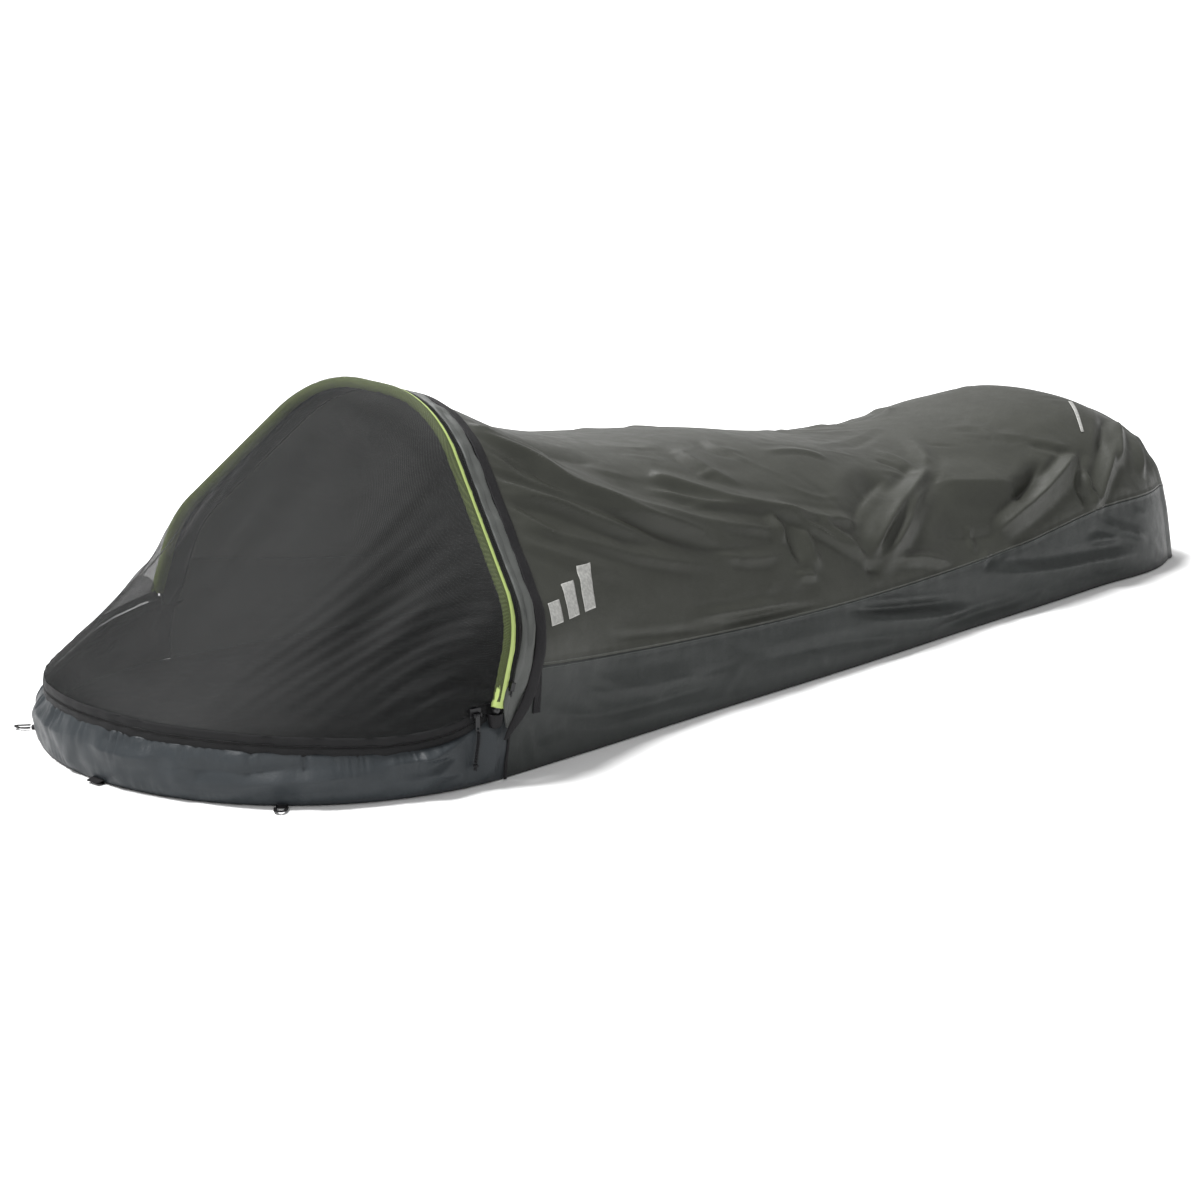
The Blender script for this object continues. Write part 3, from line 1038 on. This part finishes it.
tape_path = [(0.0100, 0.0016), (0.0120, 0.0024), (0.0150, 0.0032), (0.0180, 0.0030), (0.0205, 0.0016)]
hoop_sheet("flap_tape", 0.020, tape_path, tape_cloth, "flap_zipper_tape")
for k, t in enumerate((0.0142, 0.0160)):
    s = np.linspace(-s_at_height(0.022), s_at_height(0.022), 300)
    put(coil(f"flap_teeth_{k}", hoop(s, t, 0.0044), 0.0008, 0.00036, 0.0028, coil_nylon, toward=(0.3, 0, 0.95)),
        "clamshell")

flap_path = [
    (0.0200, 0.0008), (0.0204, 0.0034), (0.0222, 0.0058), (0.0252, 0.0068), (0.0284, 0.0060), (0.0306, 0.0048),
    (0.0330, 0.0056), (0.0366, 0.0072), (0.0402, 0.0070), (0.0432, 0.0052), (0.0452, 0.0024), (0.0440, -0.0010),
    (0.0400, -0.0030), (0.0330, -0.0036), (0.0260, -0.0034), (0.0214, -0.0022)]


FLAP_H = [-0.022, -0.004, 0.020, 0.050, 0.090, 0.140]
FLAP_FROM = [0.0230, 0.0130, 0.0070, 0.0130, 0.0190, 0.0200]
FLAP_TO = [0.0250, 0.0330, 0.0400, 0.0440, 0.0450, 0.0452]


def flap_wobble(s, k):
    """Long soft pleats, and a wedge with a turned corner at each foot."""
    t, o = flap_path[k]
    share = (t - 0.0200) / 0.0252
    h = np.interp(s, fine_s, fine[:, 1])
    foot = step(-h, -0.10, -0.01)
    start, end = smooth(h, FLAP_H, FLAP_FROM), smooth(h, FLAP_H, FLAP_TO)
    long_fold = ripple(np.stack([s * 0.35, np.full_like(s, share * 0.03)], axis=-1), 0.022, 103)
    fine_fold = ripple(np.stack([s, np.full_like(s, share * 0.04)], axis=-1), 0.030, 104, 10)
    top = 1.0 if o > 0 else 0.2
    turned = np.exp(-(((share - 0.25 - 5.0 * (h - 0.03)) / 0.16) ** 2))
    rise = top * (0.0011 * long_fold + 0.0007 * fine_fold + foot * 0.0028 * turned)
    return start + share * (end - start) - t, rise - 0.55 * foot * o - 0.25 * o


hoop_sheet("storm_flap_roll", -0.020, flap_path, flap_fabric, "storm_flap",
           columns=520, wobble=flap_wobble)

# webbing: beside the flap over the crown, then forward and narrower down to each bound seam
WEB_H = [-0.036, -0.020, -0.004, 0.018, 0.045, 0.085, 0.13]
WEB_MID = [0.0235, 0.0310, 0.0385, 0.0465, 0.0515, 0.0533, 0.0536]
WEB_HALF = [0.0028, 0.0062, 0.0086, 0.0092, 0.0093, 0.0093, 0.0093]
s = np.linspace(-s_at_height(-0.036), s_at_height(-0.036), 460)
height = np.interp(s, fine_s, fine[:, 1])
web_mid, web_half = smooth(height, WEB_H, WEB_MID), smooth(height, WEB_H, WEB_HALF)
lift = 0.0054 + 0.0004 * ripple(s[:, None], 0.06, 105) - 0.0022 * step(-height, -0.03, 0.03)
web_grid = np.stack([
    hoop(s, web_mid + k * web_half, lift - 0.0012 * abs(k) ** 3) for k in np.linspace(-1, 1, 9)], axis=1)
web = cloth("hoop_webbing_band", web_grid, webbing, thick=0.0014, flip=True)
put(web, "clamshell", ["hoop_webbing"])

# ---------------------------------------------------------------- sewn details
def ribbon(name, line, side, width, mat, thick=0.0012, crown=0.0002, columns=5):
    """A flat strap along a line of points; side is its width's direction, by point or for all."""
    line = np.asarray(line, float)
    side = np.broadcast_to(np.asarray(side, float), line.shape)
    side = side / np.linalg.norm(side, axis=1, keepdims=True)
    width = np.broadcast_to(width, (len(line),))[:, None]
    up = np.cross(np.gradient(line, axis=0), side)
    up /= np.linalg.norm(up, axis=1, keepdims=True)
    k = np.linspace(-0.5, 0.5, columns)
    grid = np.stack([line + side * width * c + up * crown * (1 - 4 * c * c) for c in k], axis=1)
    return cloth(name, grid, mat, thick=thick)


def stitches(name, points, out_dirs, mat, length=0.0026, pitch=0.0040, radius=0.00028, lift=0.0003):
    """A row of thread stitches along a line of points on a surface."""
    points, out_dirs = np.asarray(points, float), np.asarray(out_dirs, float)
    along = run_of(points[None], 1)[0]
    at = np.arange(pitch / 2, along[-1], pitch)
    mid = np.stack([np.interp(at, along, points[:, k]) for k in range(3)], axis=-1)
    up = np.stack([np.interp(at, along, out_dirs[:, k]) for k in range(3)], axis=-1)
    up /= np.linalg.norm(up, axis=1, keepdims=True)
    ahead = np.gradient(mid, axis=0)
    ahead /= np.linalg.norm(ahead, axis=1, keepdims=True)
    side = np.cross(ahead, up)
    mid = mid + up * lift
    shape = [(-0.5, 0, -1), (-0.28, 1, 0.2), (-0.28, 0, 1), (-0.28, -1, 0.2),
             (0.28, 1, 0.2), (0.28, 0, 1), (0.28, -1, 0.2), (0.5, 0, -1)]
    verts = np.concatenate([
        (mid + ahead * a * length + side * b * radius + up * c * radius)[:, None] for a, b, c in shape], axis=1)
    one = [(0, 2, 1), (0, 3, 2), (1, 2, 5, 4), (2, 3, 6, 5), (4, 5, 7), (5, 6, 7), (0, 1, 4, 7), (0, 7, 6, 3)]
    faces = [tuple(8 * i + k for k in f) for i in range(len(mid)) for f in one]
    return mesh_object(name, verts.reshape(-1, 3), faces, [mat])


thread = cord_material("thread", colour(92, 94, 92))
dark_thread = cord_material("dark_thread", colour(52, 52, 54))
skin_tree = BVHTree.FromPolygons(
    [tuple(p) for p in folded.reshape(-1, 3)], [tuple(f) for f in grid_faces(*folded.shape[:2])])


def on_body(points, direction, lift=0.0006):
    """Where rays from points in a direction meet the sack's outer skin, and its normals there."""
    hits, ups = [], []
    for p in points:
        place, up, *_ = skin_tree.ray_cast(Vector(p), Vector(direction))
        up = up if up.dot(Vector(direction)) < 0 else -up
        hits.append(place + up * lift)
        ups.append(up)
    return np.array(hits), np.array(ups)


def on_side(xz, side, lift=0.0006):
    """Points on the sack's side wall at these (x, z), from the right (-1) or left (1)."""
    return on_body([(HX + x, 0.6 * side, z) for x, z in xz], (0, -side, 0), lift)


def applique(name, corners, side, mat, lift=0.0012, thick=0.0009, rows=22, cols=12):
    """A flat patch on the side wall with these four (x, z) corners."""
    corners = np.array(corners, float)
    u, v = np.linspace(0, 1, rows)[:, None, None], np.linspace(0, 1, cols)[None, :, None]
    flat_grid = (corners[0] * (1 - u) + corners[1] * u) * (1 - v) + (corners[3] * (1 - u) + corners[2] * u) * v
    hits, _ = on_side(flat_grid.reshape(-1, 2), side, lift)
    grid = hits.reshape(rows, cols, 3)
    return cloth(name, grid, mat, thick=thick, flip=normals(grid)[rows // 2, cols // 2, 1] * side < 0)


# thread along both side seams
for side, column in (("right", FIRST_SEAM), ("left", LAST_SEAM)):
    for k, shift in enumerate((-0.75, 0.75)):
        line = folded[:, column] + (folded[:, column + 1] - folded[:, column - 1]) * 0.5 * shift
        ups = normals(folded)[:, column]
        row = turns_with_hoop(stitches(f"seam_{side}_{k}", line[2:], ups[2:], thread))

# corner patch (x, z), its rows of stitches, and the pole pocket's (height, half length, half depth)
PATCH = [(0.0735, 0.078), (0.0695, 0.136), (0.0835, 0.134), (0.0875, 0.077)]
PATCH_STITCHES = (
    [(0.0745, 0.082), (0.0713, 0.132), (0.0825, 0.131), (0.0855, 0.081), (0.0745, 0.082)],
    [(0.0745, 0.084), (0.0840, 0.104)], [(0.0855, 0.083), (0.0735, 0.105)])
POCKET = (
    (0.0765, 0.0030, 0.0016), (0.0772, 0.0066, 0.0034), (0.0800, 0.0088, 0.0052), (0.0860, 0.0098, 0.0064),
    (0.0920, 0.0100, 0.0068), (0.0950, 0.0099, 0.0068), (0.0962, 0.0096, 0.0066), (0.0955, 0.0086, 0.0058),
    (0.0900, 0.0082, 0.0056), (0.0850, 0.0066, 0.0044), (0.0835, 0.0020, 0.0016))
# bound seams from the webbing's ends down to the ground, at the ends of the head tub
for name, side in (("right", -1), ("left", 1)):
    z = np.linspace(0.002, 0.086, 30)
    line = np.stack([HX + seam_x(z), side * (0.3874 + 0.0010 * np.sin(z / 0.086 * pi)), z], axis=-1)
    bound = ribbon(f"bound_seam_{name}", line, (side * 0.96, 0.28, 0.0), 0.0042 + 0.0006 * np.cos(z * 50),
                   webbing, thick=0.0016, crown=0.0009)
    put(bound, "sack", [f"corner_binding_{name}"])
    patch = applique(f"webbing_patch_{name}", PATCH, side, webbing, lift=0.0016, thick=0.0014)
    turns_with_hoop(patch)
    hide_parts(f"corner_patch_{name}")
    for k, path in enumerate(PATCH_STITCHES):
        at = np.linspace(0, len(path) - 1, 40 * (len(path) - 1))
        xz = np.stack([np.interp(at, range(len(path)), [p[i] for p in path]) for i in (0, 1)], axis=-1)
        hits, ups = on_side(xz, side, 0.0016)
        row = stitches(f"patch_stitch_{name}_{k}", hits, ups, dark_thread, length=0.0018, pitch=0.0026)
        turns_with_hoop(row)

    # pocket that holds the pole's tip: a folded strap, open at the top, with its side edges sewn
    a = np.linspace(0, 2 * pi, 28, endpoint=False)
    c, q = np.cos(a), np.sin(a)
    squarish = (np.abs(c) ** 3.2 + np.abs(q) ** 3.2) ** (-1 / 3.2)
    rings = [
        np.stack([HX - 0.001 + w * squarish * c, side * (0.3912 + d * squarish * q),
                  z + 0.0006 * np.cos(2 * a)], axis=-1)
        for z, w, d in POCKET]
    pocket = tube(f"tip_pocket_{name}", np.array(rings), webbing)
    put(pocket, "sack", [f"pole_pocket_{name}"])

# ---------------------------------------------------------------- stake loops and head webbing
UP = np.array((0, 0, 1.0))
LOOPS = {
    "right": (radians(47), RIM_R + 0.002), "left": (radians(-35), RIM_R + 0.002), "foot": (pi, FOOT + 0.0002)}
for name, (angle, reach) in LOOPS.items():
    ahead = np.array((-cos(angle), -sin(angle), 0.0))
    across_it = np.array((-ahead[1], ahead[0], 0.0))
    at0 = np.array((HX, 0, 0.0)) + ahead * reach
    # strap out of the anchor, round a narrow loop, and back beside itself
    u = np.linspace(0, 1, 60)
    width = 0.0072 * np.cos(pi * u) * (1 - 0.12 * np.sin(pi * u))
    length = 0.0092 + 0.0200 * np.sin(pi * u) ** 0.55
    lifted = 0.0016 + 0.0016 * np.sin(pi * u) ** 2
    line = at0 + ahead * length[:, None] + across_it * width[:, None] + UP * lifted[:, None]
    forward = np.gradient(line, axis=0)
    side_dir = np.cross(forward, (0, 0, 1.0))
    strap = ribbon(f"loop_strap_{name}", line, side_dir, 0.0046, webbing, thick=0.0012, crown=0.0003)
    body_name = f"stake_loop_{name}"
    put(strap, body_name, [body_name])
    # the folded end of the strap, sewn to the floor's edge
    u = np.linspace(0, 1, 14)
    fold_line = at0 + ahead * (0.0002 + 0.0072 * u)[:, None] + UP * (0.0030 - 0.0006 * u)[:, None]
    anchor = ribbon(f"loop_anchor_{name}", fold_line, across_it, 0.0150, webbing, thick=0.0022, crown=0.0004)
    put(anchor, "sack", ["stake_loop_anchors"] if name == "foot" else [])
    bar = at0 + ahead * 0.0038 + across_it * np.linspace(-0.006, 0.006, 12)[:, None] + np.array((0, 0, 0.0034))
    row = stitches(f"loop_bar_{name}", bar, np.tile(UP, (12, 1)), dark_thread, length=0.0016, pitch=0.0014)
    put(row, "sack")

angle = radians(6)
ahead, across_it = np.array((-cos(angle), -sin(angle), 0.0)), np.array((sin(angle), -cos(angle), 0.0))
u = np.linspace(0, 1, 40)
out_at = 0.0118 * np.sin(pi * u) ** 0.6 + 0.0004
up_at = 0.0010 + 0.0036 * u + 0.0010 * np.sin(2 * pi * u)
line = np.array((HX, 0, 0)) + ahead * (RIM_R + 0.0008 + out_at)[:, None] + UP * up_at[:, None]
tab = ribbon("head_webbing_tab", line, across_it, 0.0225, webbing, thick=0.0011, crown=0.0002, columns=9)
put(tab, "sack", ["head_webbing"])

# ---------------------------------------------------------------- reflective mark and foot tab
n = Nodes("reflective")
n.set(Base_Color=n.mix(n.levels(n.noise(260.0, 3.0), 0.35, 0.65), colour(176, 176, 172), colour(150, 150, 147)),
      Roughness=0.38, Metallic=0.25)
n.set(Normal=n.bump(n.noise(1400.0, 1.0), 0.00005, 0.5))
reflective = n.mat
# a plain generic mark: three leaning bars, each longer than the last
for k, (x, low, high_at) in enumerate(((0.112, 0.188, 0.214), (0.152, 0.188, 0.228), (0.192, 0.188, 0.242))):
    lean_x = 0.30 * (high_at - low)
    corners = [(x, low), (x + lean_x, high_at), (x + 0.026 + lean_x, high_at), (x + 0.026, low)]
    bar = applique(f"reflective_bar_{k}", corners, -1, reflective, lift=0.0007, thick=0.0004)
    turns_with_hoop(bar)
grid_u = np.linspace(0, 1, 24)
tab_x = HX + 1.506 - 0.070 * grid_u
tab_y = -0.090 - 0.085 * grid_u
half = 0.0052 * (1 - 0.35 * grid_u)
tab_points = np.stack([
    np.stack([tab_x + c * half * 2, tab_y, np.full(24, 0.5)], axis=-1)
    for c in np.linspace(-0.5, 0.5, 6)], axis=1)
hits, _ = on_body(tab_points.reshape(-1, 3), (0, 0, -1), 0.0012)
tab_grid = hits.reshape(24, 6, 3)
foot_tab = cloth("foot_reflector", tab_grid, reflective, thick=0.0006)
if normals(tab_grid)[12, 3, 2] < 0:
    foot_tab.data.flip_normals()
put(foot_tab, "sack")

# ---------------------------------------------------------------- CAD nodes that keep their shape
for names, mat in (
    (["pole_section_1", "pole_section_2", "pole_section_3", "pole_section_4"], pole_tube),
    (["pole_ferrules"], ferrule_metal), (["pole_tip_right", "pole_tip_left"], black_plastic),
    (["pole_shock_cord"], braid), (["rim_slider", "pull_tab", "flap_slider"], slider_paint),
):
    for node in names:
        data = frame["nodes"][node].data
        data.materials.clear()
        data.materials.append(mat)
